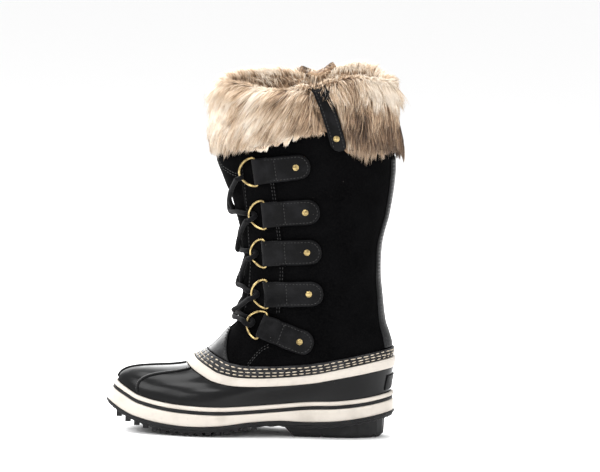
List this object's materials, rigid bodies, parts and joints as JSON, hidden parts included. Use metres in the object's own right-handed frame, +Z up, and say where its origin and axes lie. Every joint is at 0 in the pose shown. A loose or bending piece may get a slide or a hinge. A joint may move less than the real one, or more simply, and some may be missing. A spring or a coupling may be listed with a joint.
{
  "type": "snow boot",
  "caption": "Tall winter boot with a black rubber foot, pale rubber side bands, a laced black suede shaft with leather ring tabs, and a deep fur cuff",
  "frame": {"origin": "On the floor, under the middle of the heel's flat", "axes": "Toe towards -X, heel towards +X; the inner side of the foot towards -Y; +Z up the shaft"},
  "size_m": [0.2953, 0.1315, 0.3593],
  "materials": {
    "sole_rubber": "matt black moulded rubber",
    "pale_rubber": "satin cream rubber",
    "black_rubber": "glossy black rubber",
    "suede": "black suede",
    "smooth_leather": "smooth black leather",
    "rand_leather": "waxed leather with cream stitches",
    "tab_leather": "charcoal leather",
    "brass": "antique brass",
    "lace": "round black cord",
    "fur": "long beige and brown pile",
    "insole_felt": "grey-brown felt"
  },
  "bodies": {
    "root": {"outsole": "sole_rubber", "foxing": "pale_rubber", "foxing_stripe": "sole_rubber", "foxing_bead": "pale_rubber", "shell": "black_rubber", "shell_band": "pale_rubber", "rand": "rand_leather", "heel_badge": "black_rubber", "insole": "insole_felt", "upper": "suede", "vamp": "smooth_leather", "tongue": "suede", "backstay": "smooth_leather", "fur_cuff": "fur", "eyestay_medial": "suede", "tab_medial_1": "tab_leather", "ring_medial_1": "brass", "rivet_medial_1": "brass", "tab_medial_2": "tab_leather", "ring_medial_2": "brass", "rivet_medial_2": "brass", "tab_medial_3": "tab_leather", "ring_medial_3": "brass", "rivet_medial_3": "brass", "tab_medial_4": "tab_leather", "ring_medial_4": "brass", "rivet_medial_4": "brass", "tab_medial_5": "tab_leather", "ring_medial_5": "brass", "rivet_medial_5": "brass", "strap_medial": "tab_leather", "strap_rivet_medial": "brass", "eyestay_lateral": "suede", "tab_lateral_1": "tab_leather", "ring_lateral_1": "brass", "rivet_lateral_1": "brass", "tab_lateral_2": "tab_leather", "ring_lateral_2": "brass", "rivet_lateral_2": "brass", "tab_lateral_3": "tab_leather", "ring_lateral_3": "brass", "rivet_lateral_3": "brass", "tab_lateral_4": "tab_leather", "ring_lateral_4": "brass", "rivet_lateral_4": "brass", "tab_lateral_5": "tab_leather", "ring_lateral_5": "brass", "rivet_lateral_5": "brass", "strap_lateral": "tab_leather", "strap_rivet_lateral": "brass", "lace_1": "lace", "lace_2": "lace", "lace_3": "lace", "lace_4": "lace"}
  },
  "joints": []
}
